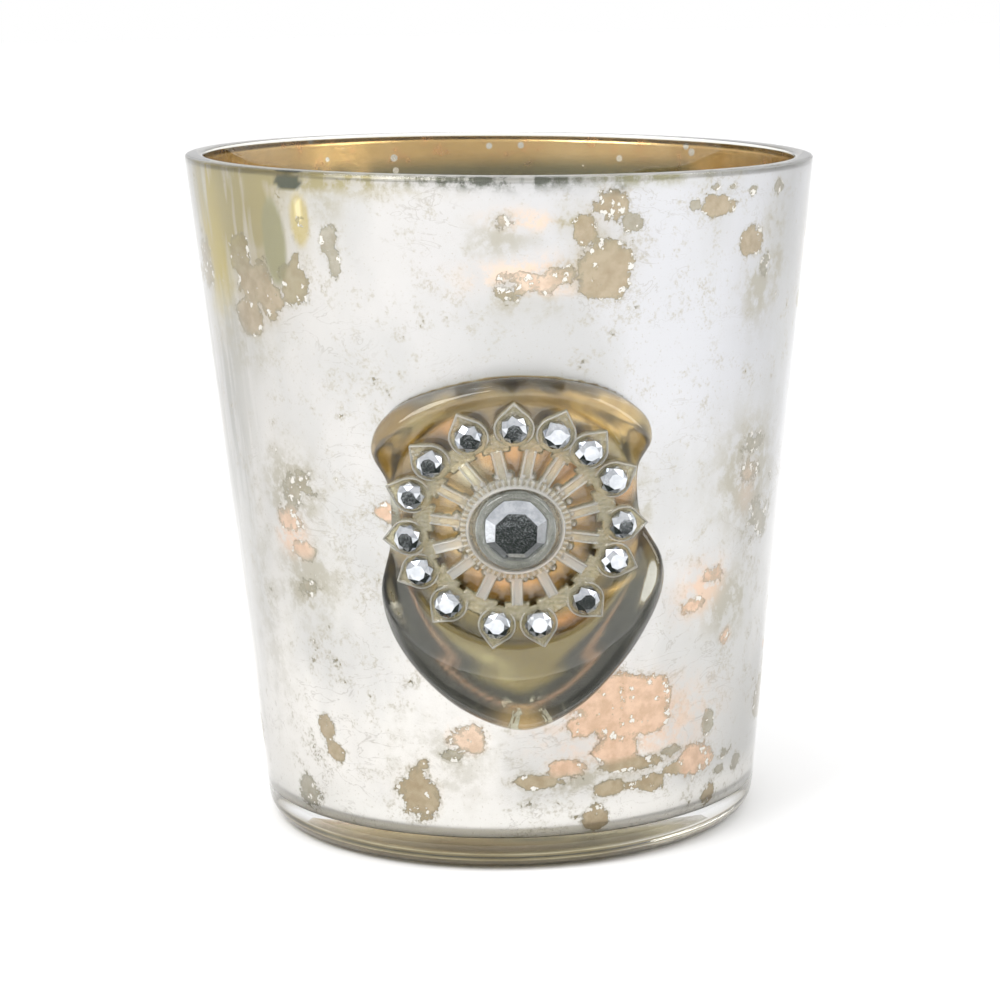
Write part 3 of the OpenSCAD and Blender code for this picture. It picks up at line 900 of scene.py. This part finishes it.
def pad_backing(u, v, depth):
    """Colour of the lacquer that shows through the pad, with painted light: a warm painted
    light behind the spokes, a painted dark band and a painted copper highlight line inside the
    edge of the lower lobe, and the painted highlights and shade listed above."""
    lower = ease(-v, 3.5, 8)
    band_w = 3.2 + 0.7 * ease(-v, 12, 19)
    band = lower * (1 - ease(depth - band_w, 0.0, 1.2))
    colour = blend(tone(148, 118, 60), tone(134, 117, 66), ease(-v, 1, 12))
    # Painted light: the lacquer under the spokes is lightened
    painted_light_under_spokes = 0.75 * plateau(np.hypot(u, v), 4.2, 5.2, 8.6, 10.6)
    colour = blend(colour, PAINTED_LIGHT_COLOURS["under"], painted_light_under_spokes)
    # Painted shade: a dark band inside the lower lobe's edge
    colour = blend(colour, tone(14, 17, 9), 0.98 * band)
    # Painted highlight: a copper line in that band
    colour = blend(colour, tone(196, 150, 120), 0.6 * lower * hump(depth, 2.7, 0.30))
    # Painted highlights and painted shade
    for at_u, at_v, half_u, half_v, turn, strength, name in PAD_PAINTED_LIGHTS:
        c, s = math.cos(math.radians(turn)), math.sin(math.radians(turn))
        across = ((u - at_u) * c + (v - at_v) * s) / half_u
        along = ((v - at_v) * c - (u - at_u) * s) / half_v
        level = strength * np.exp(-(across**2 + along**2) * 1.1)
        colour = blend(colour, PAINTED_LIGHT_COLOURS[name], level)
    return colour


COAT_AROUND = 480
# How deep in the wall each coat's two faces lie
SILVER_SKIN = (0.11, 0.07)
GOLD_SKIN = (0.05, 0.015)
# The silver stops part of the way round the well's corner, in degrees
SILVER_FOOT = -62


def build_silver():
    """The silvering, a thin closed tube just inside the glass, with its wear, and painted
    highlights and shade in the lacquer behind the pad.
    """
    outer = inside_rings(SILVER_SKIN[0], SILVER_FOOT, BARE_RIM, 150, COAT_AROUND)
    inner = inside_rings(SILVER_SKIN[1], SILVER_FOOT, BARE_RIM, 30, COAT_AROUND)
    coat = loft("silver_coat", outer + inner[::-1], closed=True)
    points = np.array([v.co for v in coat.data.vertices]) / MM
    fields, colour = patch_fields(points)
    angle = np.arctan2(points[:, 0], -points[:, 1])
    u = angle * WALL_MEDALLION_R
    v = (points[:, 2] - MEDALLION_Z) / math.cos(DRAFT)
    near = (np.abs(u) < 20) & (np.abs(v + 2) < 24)
    depth = np.full(len(points), -9.0)
    depth[near] = pad_depth(u[near], v[near])
    # The silver is whole behind the two edges of the pad's waist
    waist = ease(-u, 12.0, 13.4) * plateau(v, -5, -2.5, 2.5, 5)
    waist = waist + ease(u, 12.6, 13.8) * plateau(v, -1, 1, 5, 7)
    behind = ease(depth, -0.5, 0.2) * (1 - waist)
    # Behind the pad the lacquer colour carries painted highlights and painted shade
    colour = blend(colour, pad_backing(u, v, depth), behind)
    # Silver specks round the pad's lower end
    tip = hump(u, 1.5, 5.0) * hump(v, -22.5, 1.8)
    fields["gloss"] = behind
    fields["speckled"] = tip
    for name in ("haze", "streaky", "film"):
        fields[name] = fields[name] * (1 - behind)
    for name, values in fields.items():
        layer = coat.data.attributes.new(name, "FLOAT", "POINT")
        layer.data.foreach_set("value", values.astype(np.float32))
    layer = coat.data.attributes.new("paint", "FLOAT_COLOR", "POINT")
    full = np.concatenate([colour, np.ones((len(colour), 1))], 1)
    layer.data.foreach_set("color", full.astype(np.float32).ravel())
    paint(coat, silver_coat())
    wear_body(coat, "holder", "silver_lining")


def build_gold():
    """The lacquer, a thin closed cup just inside the glass, behind the silvering."""
    outer = inside_rings(GOLD_SKIN[0], -90, BARE_RIM, 90)
    inner = inside_rings(GOLD_SKIN[1], -90, BARE_RIM, 90)
    floor_low = FLOOR_T - GOLD_SKIN[0]
    floor_high = FLOOR_T - GOLD_SKIN[1]
    coat = loft(
        "gold_coat", outer + inner[::-1],
        first_pole=(0, 0, floor_low), last_pole=(0, 0, floor_high),
    )
    paint(coat, gold_lacquer())
    wear_body(coat, "holder", "gold_lining")


# ------------------------------------------------------------------- medallion


def build_pad():
    """The clear gob fused to the wall, squeezed into two lobes."""
    fractions = 1 - (1 - np.linspace(0, 1, 42)[1:]) ** 1.7
    tops, unders = [], []
    for f in fractions:
        u, v = (PAD_MIDDLE + f * (PAD_EDGE - PAD_MIDDLE)).T
        depth = pad_depth(u, v) if f < 1 else np.zeros(len(PAD_EDGE))
        tops.append(on_wall(u, v, pad_height(u, v, depth)))
        unders.append(on_wall(u, v, -FUSE_T))
    u, v = PAD_MIDDLE
    pad = loft(
        "pad_glass", tops + unders[::-1],
        first_pole=on_wall(u, v, pad_height(u, v, 9.0)),
        last_pole=on_wall(u, v, -FUSE_T),
    )
    paint(pad, pad_clear())
    wear_body(pad, "holder", "glass_pad")


def petal_places():
    """Each petal stone's node name and its angle round the medallion, from the CAD."""
    places = []
    for i in range(STONE_COUNT):
        name = f"petal_stone_{i + 1:02d}"
        low, high = box_mm(name)
        centre = (low + high) / 2
        u = math.atan2(centre[0], -centre[1]) * WALL_MEDALLION_R
        z_wall = centre[2] + (FIELD_T + PLATE_T + STONE_H / 2) * math.sin(DRAFT)
        v = (z_wall - MEDALLION_Z) / math.cos(DRAFT)
        places.append((name, math.atan2(v, u)))
    return places


PETALS = petal_places()


def petal_depth(p, q):
    """Depth inside a petal's outline, a circle drawn out to a point along +p."""
    tangent = math.acos(PETAL_R / PETAL_REACH)
    straight = p * math.cos(tangent) + np.abs(q) * math.sin(tangent)
    on_side = np.abs(np.arctan2(q, p)) < tangent
    return PETAL_R - np.where(on_side, straight, np.hypot(p, q))


def grains(u, v, seed, pitch):
    """Small random bumps, 0..1, on a jittered grid."""
    rng = np.random.default_rng(seed)
    reach = int(16 / pitch) + 1
    jitter = rng.uniform(-0.3, 0.3, (2 * reach + 3, 2 * reach + 3, 2))
    height = rng.uniform(0.4, 1, (2 * reach + 3, 2 * reach + 3))
    out = np.zeros(np.shape(u))
    iu = np.floor(u / pitch).astype(int)
    iv = np.floor(v / pitch).astype(int)
    for du in (-1, 0, 1):
        for dv in (-1, 0, 1):
            a = np.clip(iu + du + reach, 0, 2 * reach + 2)
            b = np.clip(iv + dv + reach, 0, 2 * reach + 2)
            cu = (iu + du + 0.5 + jitter[a, b, 0]) * pitch
            cv = (iv + dv + 0.5 + jitter[a, b, 1]) * pitch
            d2 = ((u - cu) ** 2 + (v - cv) ** 2) / (0.38 * pitch) ** 2
            out = np.maximum(out, height[a, b] * np.exp(-d2))
    return out


SUNK = -0.35
# Parts of the sunburst, in mm from its centre: where each starts, is at its full
# height, starts to fall and ends
SPOKES = (5.3, 5.7, 8.8, 9.2)
COLLAR = (4.6, 4.8, 5.65, 5.85)
COLLAR_TEETH = 56
WEB_RING_R = 9.75
BEZEL_R = 4.86
SEAT_R = 4.55
BEADS = 30
BEAD_RING = (5.85, 6.25)
BEAD_R = (0.26, 0.40)


def sunburst_relief(u, v):
    """Height of the sunburst over the pad's face, SUNK where there is none, and how far
    each place is a raised line with a painted highlight, 0 to 1."""
    reach = np.hypot(u, v)
    turn = np.arctan2(v, u)
    relief = np.full(np.shape(u), SUNK)
    raised = np.zeros(np.shape(u))
    grain = grains(u, v, 3, 0.50)

    def add(height, share, white):
        """Raises the relief to height over SUNK by share, and paints a highlight on what it adds.
        """
        nonlocal relief, raised
        here = SUNK + (height - SUNK) * share
        raised = np.where(here > relief + 0.02, white, raised)
        relief = np.maximum(relief, here)

    angles = [angle for _, angle in PETALS]
    for i, angle in enumerate(angles):
        p = u * math.cos(angle) + v * math.sin(angle) - PETAL_RING_R
        q = v * math.cos(angle) - u * math.sin(angle)
        depth = petal_depth(p, q)
        upper = 1.0 if math.sin(angle) > 0.35 else 0.35
        granular = upper * grain * ease(p, 0.9, 1.6) * ease(depth, 0.0, 0.3)
        add(PLATE_T + 0.32 * granular, ease(depth, -0.10, 0.10), 0.75 * granular)
        line = hump(depth, 0.16, 0.13) * ease(p, -2.0, -1.0)
        add(PLATE_T + 0.42 * line, ease(line, 0.15, 0.5), line)
        following = angles[(i + 1) % len(angles)]
        gap = (angle - following) % (2 * math.pi)
        middle = angle - gap / 2
        off = (turn - middle + math.pi) % (2 * math.pi) - math.pi
        across = np.where(np.cos(off) > 0, reach * np.sin(off), 99.0)
        web_half = PETAL_RING_R * math.sin(gap / 2) - 0.9
        web = ease(web_half - np.abs(across), -0.2, 0.2)
        web = web * ease(1.15 - np.abs(reach - WEB_RING_R), -0.1, 0.3)
        add(0.12 + 0.22 * grain, web, 0.45 * grain)
        # Two ridges to a spoke, with a lower face between them
        ends = plateau(reach, *SPOKES)
        # The lower spokes get a stronger painted highlight
        solid = 0.95 if math.sin(middle) < -0.2 else 0.35
        add(0.34, ends * ease(0.48 - np.abs(across), 0.0, 0.12), solid)
        for side in (-1, 1):
            ridge = hump(across, side * 0.46, 0.17)
            add(0.66, ends * ridge, ease(ridge, 0.3, 0.7))
    # The milled collar, the bezel and the beads round them
    milled = 0.5 + 0.5 * np.cos(COLLAR_TEETH * turn)
    add(0.75 + 0.30 * milled, plateau(reach, *COLLAR), 0.25 + 0.6 * milled)
    add(1.45, np.exp(-(((reach - BEZEL_R) / 0.24) ** 4)), 1.0)
    for k in range(BEADS):
        a = 2 * math.pi * (k + RNG.uniform(-0.3, 0.3)) / BEADS
        size = RNG.uniform(*BEAD_R)
        ring = RNG.uniform(*BEAD_RING)
        d2 = (u - ring * math.cos(a)) ** 2 + (v - ring * math.sin(a)) ** 2
        bead = np.exp(-d2 / size**2)
        add(0.78, bead, ease(bead, 0.25, 0.6))
    seat = reach < SEAT_R
    return np.where(seat, 0.2, relief), np.where(seat, 0.5, raised)


def build_sunburst():
    """The pressed sunburst, a closed relief that rises out of the pad's face."""
    pitch = 0.10
    half = 14.7
    count = int(2 * half / pitch) + 1
    line = np.linspace(-half, half, count)
    u, v = np.meshgrid(line, line, indexing="ij")
    relief, raised = sunburst_relief(u, v)
    depth = pad_depth(u, v)
    face = pad_height(u, v, depth)
    top = np.where(relief > SUNK + 0.02, FIELD_T + relief, face + SUNK)
    under = np.minimum(face - 0.40, top - 0.05)
    keep = relief > SUNK + 0.05
    cells = keep[:-1, :-1] & keep[1:, :-1] & keep[1:, 1:] & keep[:-1, 1:]
    used = np.zeros_like(keep)
    for du in (0, 1):
        for dv in (0, 1):
            used[du:count - 1 + du, dv:count - 1 + dv] |= cells
    index = np.full(keep.shape, -1)
    total = int(used.sum())
    index[used] = np.arange(total)
    points = np.concatenate([
        on_wall(u[used], v[used], top[used]),
        on_wall(u[used], v[used], under[used]),
    ])
    i, j = np.nonzero(cells)
    a, b = index[i, j], index[i + 1, j]
    c, d = index[i + 1, j + 1], index[i, j + 1]
    faces = list(zip(a.tolist(), b.tolist(), c.tolist(), d.tolist()))
    faces += list(zip(*((x + total).tolist() for x in (a, d, c, b))))
    padded = np.pad(cells, 1)
    sides = (
        ((0, -1), (0, 0), (1, 0)), ((1, 0), (1, 0), (1, 1)),
        ((0, 1), (1, 1), (0, 1)), ((-1, 0), (0, 1), (0, 0)),
    )
    for (di, dj), start, end in sides:
        open_side = cells & ~padded[1 + di:count + di, 1 + dj:count + dj]
        i, j = np.nonzero(open_side)
        p = index[i + start[0], j + start[1]]
        q = index[i + end[0], j + end[1]]
        faces += list(zip(p.tolist(), (p + total).tolist(), (q + total).tolist(), q.tolist()))
    sunburst = add_object("sunburst_glass", points, faces)
    # The raised lines' painted highlights
    layer = sunburst.data.attributes.new("raised", "FLOAT", "POINT")
    ridge_highlight = np.concatenate([raised[used], np.zeros(total)])
    layer.data.foreach_set("value", ridge_highlight.astype(np.float32))
    paint(sunburst, pressed_glass())
    wear_body(sunburst, "holder", "sunburst")


def stone_shape(name, steps, facets):
    """A flat-backed stone. Each step is (radius, height, turned): turned steps have their
    corners half a facet round. The last step is the table."""
    rings = []
    for radius, height, turned in steps:
        shift = math.pi / facets if turned else 0
        angle = np.arange(facets) / facets * 2 * math.pi + shift
        rings.append(np.stack([
            radius * np.cos(angle), radius * np.sin(angle), np.full(facets, height)
        ], -1))
    points = np.concatenate(rings)
    faces = [tuple(range(facets))[::-1]]
    for k in range(len(rings) - 1):
        a, b = k * facets, (k + 1) * facets
        same = steps[k][2] == steps[k + 1][2]
        for i in range(facets):
            j = (i + 1) % facets
            if same:
                faces.append((a + i, a + j, b + j, b + i))
            elif steps[k + 1][2]:
                faces.append((a + i, a + j, b + i))
                faces.append((a + j, b + j, b + i))
            else:
                faces.append((a + i, a + j, b + j))
                faces.append((a + i, b + j, b + i))
    last = (len(rings) - 1) * facets
    faces.append(tuple(last + i for i in range(facets)))
    return add_object(name, points, faces, smooth=False)


def set_stone(stone, u, v, base, spin_deg, tilt_deg, node, finish):
    """Seats a stone on the sunburst."""
    seat = (
        wall_frame(u, v)
        @ Matrix.Translation((0, 0, base))
        @ Matrix.Rotation(math.radians(tilt_deg), 4, "X")
        @ Matrix.Rotation(math.radians(spin_deg), 4, "Z")
    )
    seat.translation *= MM
    stone.data.transform(seat)
    paint(stone, finish)
    wear_body(stone, "holder", node)


# How each petal stone sits, from the top stone clockwise: turned and tilted, degrees
STONE_SEATS = [
    (8, 6.5), (25, 0.5), (3, 0), (31, -1), (14, 2.5), (40, -3.5), (22, 0.5), (5, -6),
    (17, -6), (36, -5), (11, -4), (28, 2.5), (0, 4), (33, 5.5), (19, 6.5),
]


def build_stones():
    """The centre stone in its clear flange, and the stones on the petals."""
    mirror = stone_mirror()
    facets = 8
    face_r = 3.85
    centre = stone_shape("crystal_centre", [
        (face_r, 0.0, False), (face_r, 0.95, False), (2.48, 1.85, False),
    ], facets)
    set_stone(centre, 0, 0, FIELD_T + PLATE_T, 20, 3, "centre_stone", mirror)
    profile = [(face_r - 0.75, 0.1), (face_r - 0.75, 0.9)]
    profile += arc((CENTRE_STONE_R - 0.62, 0.62), 0.62, 160, -10, 12)
    profile += [(CENTRE_STONE_R, 0.1)]
    flange = spin("crystal_flange", profile, 96)
    set_stone(flange, 0, 0, FIELD_T + PLATE_T, 0, 0, "centre_stone", flange_glaze())
    r, h = STONE_R, STONE_H
    for (name, angle), (turned, tilt) in zip(PETALS, STONE_SEATS):
        stone = stone_shape("crystal_" + name[-2:], [
            (r, 0.0, False), (r, 0.38, False), (r * 0.86, h * 0.58, True),
            (r * 0.54, h * 0.80, False),
        ], facets)
        u = PETAL_RING_R * math.cos(angle)
        v = PETAL_RING_R * math.sin(angle)
        set_stone(stone, u, v, FIELD_T + PLATE_T, turned, tilt, name, mirror)


# -------------------------------------------------------------------- tealight


def build_tealight():
    """The tin, its wax and its wick; the steel tab under the wax keeps its CAD shape."""
    tin_r = (tin_high[0] - tin_low[0]) / 2
    low, top = tin_low[2], tin_high[2]
    lip = 0.55
    sheet = 0.32
    side = tin_r - lip * 0.55
    profile = [(0, low + 0.25), (side * 0.55, low + 0.25)]
    profile += [(side * 0.6, low), (side * 0.93, low)]
    profile += arc((side - 1.0, low + 1.0), 1.0, -80, 0, 6)
    profile += [(side, low + t * (top - lip - low)) for t in (0.25, 0.4, 0.55, 0.7, 0.85, 0.95)]
    profile += arc((tin_r - lip, top - lip), lip, -60, 200, 12)
    profile += [(side - sheet, top - 1.6), (side - sheet, low + 2.0)]
    profile += arc((side - sheet - 0.8, low + sheet + 0.8), 0.8, 0, -90, 5)
    profile += [(side * 0.6, low + sheet), (side * 0.55, low + sheet + 0.25)]
    profile += [(0, low + sheet + 0.25)]

    flute_depth = 0.035
    flute_count = 48

    def flutes(angle, r, z):
        """Shallow upright flutes in the tin's wall."""
        high = plateau(z, low + 1.5, low + 4, top - 3, top - 1.2)
        return flute_depth * np.sin(flute_count * angle) * high * (1 if r > side - 1.5 else 0)

    tin = spin("tealight_cup", profile, 192, wave=flutes)
    paint(tin, tin_sheet())
    wear_body(tin, "tealight", "tealight_tin")

    wax_r = (wax_high[0] - wax_low[0]) / 2 - 0.02
    wax_top = wax_high[2]
    rise = [(0.85, 0.55), (1.3, 0.25), (2.2, 0.06), (5, 0.0), (10, -0.04), (wax_r - 2.0, 0.0),
            (wax_r - 0.8, 0.14), (wax_r - 0.15, 0.42), (wax_r, 0.5)]
    surface = [(r, wax_top + lift) for r, lift in rise]
    floor = wax_low[2] + 0.55
    profile = [(1.55, floor + 3.2), (1.55, floor), (wax_r - 1.0, floor), (wax_r, floor + 1.0)]
    profile += surface[::-1]
    wax = spin("wax_fill", profile, 96)
    paint(wax, candle_wax())
    wear_body(wax, "tealight", "tealight_wax")

    wick_r = (wick_high[0] - wick_low[0]) / 2
    rings = []
    strands = 6
    lay = 3.1
    count = 36
    around = np.arange(count) / count * 2 * math.pi
    for z in np.linspace(wick_low[2], wick_high[2], 150):
        up = (z - wick_low[2]) / (wick_high[2] - wick_low[2])
        twist = 2 * math.pi * (z / lay)
        r = wick_r * (0.86 + 0.12 * np.abs(np.sin(strands / 2 * (around - twist))))
        r = r * (1 - 0.35 * ease(up, 0.97, 1.0))
        ring = round_cup(r, around, z)
        ring[:, 0] += 0.45 * ease(up, 0.72, 1.0)
        rings.append(ring)
    wick = loft(
        "wick_braid", rings,
        first_pole=rings[0].mean(0), last_pole=rings[-1].mean(0) + np.array([0, 0, 0.05]),
    )
    paint(wick, wick_cotton())
    wear_body(wick, "tealight", "tealight_wick")
    paint(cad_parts["wick_tab"], tab_steel())


# ----------------------------------------------------------------------- stage


def area_light(name, place, aim, size, power):
    """A soft rectangular light; places and size are in metres."""
    data = bpy.data.lights.new(name, "AREA")
    data.shape = "RECTANGLE"
    data.size, data.size_y = size
    data.energy = power
    light = bpy.data.objects.new(name, data)
    light.location = place
    towards = Vector(aim) - Vector(place)
    light.rotation_euler = towards.to_track_quat("-Z", "Y").to_euler()
    bpy.context.scene.collection.objects.link(light)


def stage_mesh(name, points, faces):
    """A plain mesh object for the stage; points are in metres."""
    mesh = bpy.data.meshes.new(name)
    mesh.from_pydata(points, [], faces)
    piece = bpy.data.objects.new(name, mesh)
    bpy.context.scene.collection.objects.link(piece)
    return piece


def build_floor():
    """A plain pale floor."""
    size = 3.0
    corners = [(-size, -size, 0), (size, -size, 0), (size, size, 0), (-size, size, 0)]
    floor = stage_mesh("floor", corners, [(0, 1, 2, 3)])
    s = Shader("floor")
    grain = s.noise(40, 3.0)
    s.shader(
        Base_Color=s.mix(grain, (0.90, 0.90, 0.90, 1), (0.92, 0.92, 0.92, 1)),
        Roughness=0.9,
        Specular_IOR_Level=0.0,
    )
    paint(floor, s)


def build_card():
    """A card on the floor in front, seen only in reflections: dark in the middle, grey to
    the sides and near the foot, and as pale as the floor at its ends and outer edge."""
    low_r, fade_r, high_r = 0.034, 0.118, 0.128
    height = 0.0008
    half_angle = math.radians(85)
    steps = 48
    points, faces = [], []
    for k in range(steps + 1):
        a = -half_angle + 2 * half_angle * k / steps
        for r in (low_r, high_r):
            points.append((r * math.sin(a), -r * math.cos(a), height))
    for k in range(steps):
        faces.append((2 * k, 2 * k + 1, 2 * k + 3, 2 * k + 2))
    card = stage_mesh("dark_card", points, faces)
    s = Shader("dark_card")
    dark, grey = (0.02, 0.024, 0.02, 1), (0.36, 0.36, 0.35, 1)
    towards = s.math("ARCTAN2", s.place("X"), s.math("MULTIPLY", s.place("Y"), -1.0))
    turned = s.math("ABSOLUTE", towards)
    aside = s.span(turned, math.radians(36), math.radians(54))
    mottle = s.span(s.noise(90, 3.0, 0.6), 0.4, 0.7, 0.0, 0.12)
    colour = s.mix(s.math("MAXIMUM", aside, mottle), dark, grey)
    reach = s.node("ShaderNodeVectorMath", {0: s.coords}, operation="LENGTH").outputs["Value"]
    close = s.span(reach, 0.048, 0.042, 0.0, 0.6)
    colour = s.mix(close, colour, grey)
    outside = s.span(reach, fade_r, high_r)
    ends = s.span(turned, math.radians(54), math.radians(80))
    s.shader(
        Base_Color=s.mix(s.math("MAXIMUM", ends, outside), colour, rgb(246, 246, 245)),
        Roughness=0.9,
        Specular_IOR_Level=0.0,
    )
    paint(card, s)
    card.visible_camera = False
    card.visible_diffuse = False
    card.visible_transmission = False
    card.visible_shadow = False


def build_world():
    """White surroundings in soft bands of brightness, plain white behind the object and a
    little dimmer in mirrors and glass than on matt surfaces."""
    matt_strength, mirror_strength = 1.15, 0.97
    horizon = 0.95
    bands = ((0.10, 0.86), (0.30, 0.97), (0.55, 0.90), (0.75, 1.0))
    world = bpy.data.worlds.new("studio")
    bpy.context.scene.world = world
    world.use_nodes = True
    tree = world.node_tree
    tree.nodes.clear()
    out, seen, lit, mix, path, coords, split, ramp, mirrored, strength = (
        tree.nodes.new("ShaderNode" + kind) for kind in (
            "OutputWorld", "Background", "Background", "MixShader", "LightPath",
            "TexCoord", "SeparateXYZ", "ValToRGB", "Math", "MapRange",
        )
    )
    stops = ramp.color_ramp.elements
    stops[0].position, stops[0].color = 0.0, (horizon, horizon, horizon, 1)
    stops[1].position, stops[1].color = 1.0, (1.0, 1.0, 1.0, 1)
    for at, level in bands:
        stops.new(at).color = (level, level, level, 1)
    seen.inputs[0].default_value = (1, 1, 1, 1)
    mirrored.operation = "MAXIMUM"
    strength.inputs["To Min"].default_value = matt_strength
    strength.inputs["To Max"].default_value = mirror_strength
    for start, end in (
        (coords.outputs["Generated"], split.inputs[0]),
        (split.outputs["Z"], ramp.inputs[0]),
        (ramp.outputs[0], lit.inputs[0]),
        (path.outputs["Is Glossy Ray"], mirrored.inputs[0]),
        (path.outputs["Is Transmission Ray"], mirrored.inputs[1]),
        (mirrored.outputs[0], strength.inputs["Value"]),
        (strength.outputs[0], lit.inputs[1]),
        (path.outputs["Is Camera Ray"], mix.inputs[0]),
        (lit.outputs[0], mix.inputs[1]),
        (seen.outputs[0], mix.inputs[2]),
        (mix.outputs[0], out.inputs[0]),
    ):
        tree.links.new(start, end)


def build_camera():
    """The camera, a little left of the medallion and above the rim."""
    distance, height, azimuth = 349 * MM, 104.8 * MM, math.radians(-1.65)
    aim_z = 40 * MM
    roll = math.radians(1.05)
    place = Vector((distance * math.sin(azimuth), -distance * math.cos(azimuth), height))
    forward = (Vector((0, 0, aim_z)) - place).normalized()
    level = forward.cross(Vector((0, 0, 1))).normalized()
    up = level.cross(forward)
    right = level * math.cos(roll) - up * math.sin(roll)
    up = level * math.sin(roll) + up * math.cos(roll)
    data = bpy.data.cameras.new("camera")
    data.lens = 104.9
    data.sensor_width = 36.0
    data.shift_x = -0.0053
    data.shift_y = -0.0189
    data.clip_start = 0.01
    camera = bpy.data.objects.new("camera", data)
    turn = Matrix((right, up, -forward)).transposed().to_4x4()
    camera.matrix_world = Matrix.Translation(place) @ turn
    bpy.context.scene.collection.objects.link(camera)
    bpy.context.scene.camera = camera


build_cup()
build_silver()
build_gold()
build_pad()
build_sunburst()
build_stones()
build_tealight()
build_floor()
build_card()
build_world()
build_camera()
area_light("key", (-0.45, -0.35, 0.65), (0, 0, 0.04), (0.5, 0.5), 5.0)
area_light("fill", (0.60, -0.20, 0.45), (0, 0, 0.04), (0.3, 0.6), 2.0)
bpy.context.scene.view_settings.view_transform = "Standard"
